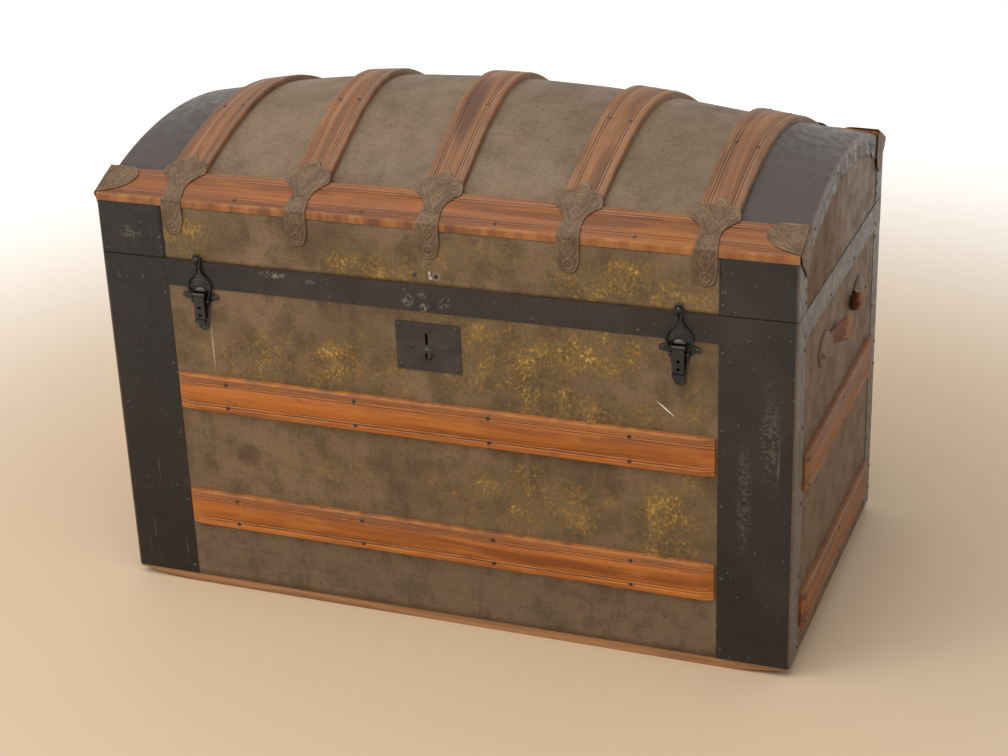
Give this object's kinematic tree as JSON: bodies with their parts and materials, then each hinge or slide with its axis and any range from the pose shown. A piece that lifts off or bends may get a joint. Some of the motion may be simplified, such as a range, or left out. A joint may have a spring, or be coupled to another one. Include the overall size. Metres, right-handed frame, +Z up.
{
  "type": "dome top trunk",
  "caption": "Canvas covered travel trunk with a domed lid bound by bent wood strips, dark metal corners, two draw latches, a lock plate, rear hinges and a folding lid stay.",
  "frame": {"origin": "on the floor below the middle of the case", "axes": "+X to the right across the front, -Y out of the front, +Z up"},
  "size_m": [0.965, 0.506, 0.67],
  "materials": {
    "pine": "bare planed board",
    "canvas": "worn painted canvas",
    "dark_tin": "black japanned sheet, satin",
    "oak": "varnished and worn",
    "brown_steel": "dull brown patina",
    "latch_iron": "black, rubbed",
    "lock_steel": "dull dark patina",
    "leather": "dry cracked leather",
    "hinge_steel": "dull steel",
    "nail_iron": "dark iron"
  },
  "bodies": {
    "case": {"case_bottom": "pine", "case_front": "pine", "case_back": "pine", "case_left_end": "pine", "case_right_end": "pine", "case_canvas": "canvas", "rim_band": "dark_tin", "corner_front_left": "dark_tin", "corner_front_right": "dark_tin", "corner_rear_left": "dark_tin", "corner_rear_right": "dark_tin", "slat_front_lower": "oak", "slat_front_upper": "oak", "slat_back_lower": "oak", "slat_back_upper": "oak", "slat_left_lower": "oak", "slat_left_upper": "oak", "slat_right_lower": "oak", "slat_right_upper": "oak", "batten_front": "oak", "batten_rear": "oak", "latch_base_left": "latch_iron", "latch_base_right": "latch_iron", "latch_pins": "latch_iron", "lock_plate": "lock_steel", "lock_case": "lock_steel", "leather_handle": "leather", "torn_handle": "leather", "handle_caps": "brown_steel", "hinge_case_leaves": "hinge_steel", "hinge_pins": "hinge_steel", "stay_case_stud": "hinge_steel", "case_nails": "nail_iron"},
    "lid": {"lid_front": "pine", "lid_back": "pine", "lid_left_end": "pine", "lid_right_end": "pine", "dome_panel": "pine", "lid_canvas": "canvas", "lid_band_left": "dark_tin", "lid_band_right": "dark_tin", "dome_slat_1": "oak", "dome_slat_2": "oak", "dome_slat_3": "oak", "dome_slat_4": "oak", "dome_slat_5": "oak", "rail_front": "oak", "rail_rear": "oak", "slat_clamps": "brown_steel", "rail_brackets": "brown_steel", "latch_keepers": "latch_iron", "hinge_lid_leaves": "hinge_steel", "stay_lid_stud": "hinge_steel", "lid_nails": "nail_iron"},
    "latch_lever_left": {"latch_lever_left": "latch_iron"},
    "latch_lever_right": {"latch_lever_right": "latch_iron"},
    "latch_loop_left": {"latch_loop_left": "latch_iron"},
    "latch_loop_right": {"latch_loop_right": "latch_iron"},
    "stay_lower": {"stay_lower": "hinge_steel"},
    "stay_upper": {"stay_upper": "hinge_steel"}
  },
  "joints": [
    {"name": "lid_hinge", "type": "hinge", "parent": "case", "child": "lid", "pos_m": [0, 0.2482, 0.4704], "axis": [-1, 0, 0], "range_deg": [0, 105]},
    {"name": "left_latch_lever_pivot", "type": "hinge", "parent": "case", "child": "latch_lever_left", "pos_m": [-0.317, -0.25, 0.427], "axis": [-1, 0, 0], "range_deg": [0, 150]},
    {"name": "left_latch_loop_pivot", "type": "hinge", "parent": "latch_lever_left", "child": "latch_loop_left", "pos_m": [-0.317, -0.2472, 0.418], "axis": [-1, 0, 0], "range_deg": [-225, 0]},
    {"name": "right_latch_lever_pivot", "type": "hinge", "parent": "case", "child": "latch_lever_right", "pos_m": [0.317, -0.25, 0.427], "axis": [-1, 0, 0], "range_deg": [0, 150]},
    {"name": "right_latch_loop_pivot", "type": "hinge", "parent": "latch_lever_right", "child": "latch_loop_right", "pos_m": [0.317, -0.2472, 0.418], "axis": [-1, 0, 0], "range_deg": [-225, 0]},
    {"name": "stay_case_pivot", "type": "hinge", "parent": "case", "child": "stay_lower", "pos_m": [0.44225, 0.10894, 0.37289], "axis": [-1, 0, 0], "range_deg": [0, 105]},
    {"name": "stay_lid_pivot", "type": "hinge", "parent": "lid", "child": "stay_upper", "pos_m": [0.43945, 0.13002, 0.49124], "axis": [-1, 0, 0], "range_deg": [-105, 0]}
  ],
  "couplings": [
    {"joint": "left_latch_loop_pivot", "follows": "left_latch_lever_pivot", "ratio": -1.5},
    {"joint": "right_latch_loop_pivot", "follows": "right_latch_lever_pivot", "ratio": -1.5},
    {"joint": "stay_case_pivot", "follows": "lid_hinge", "ratio": 1},
    {"joint": "stay_lid_pivot", "follows": "lid_hinge", "ratio": -1}
  ]
}
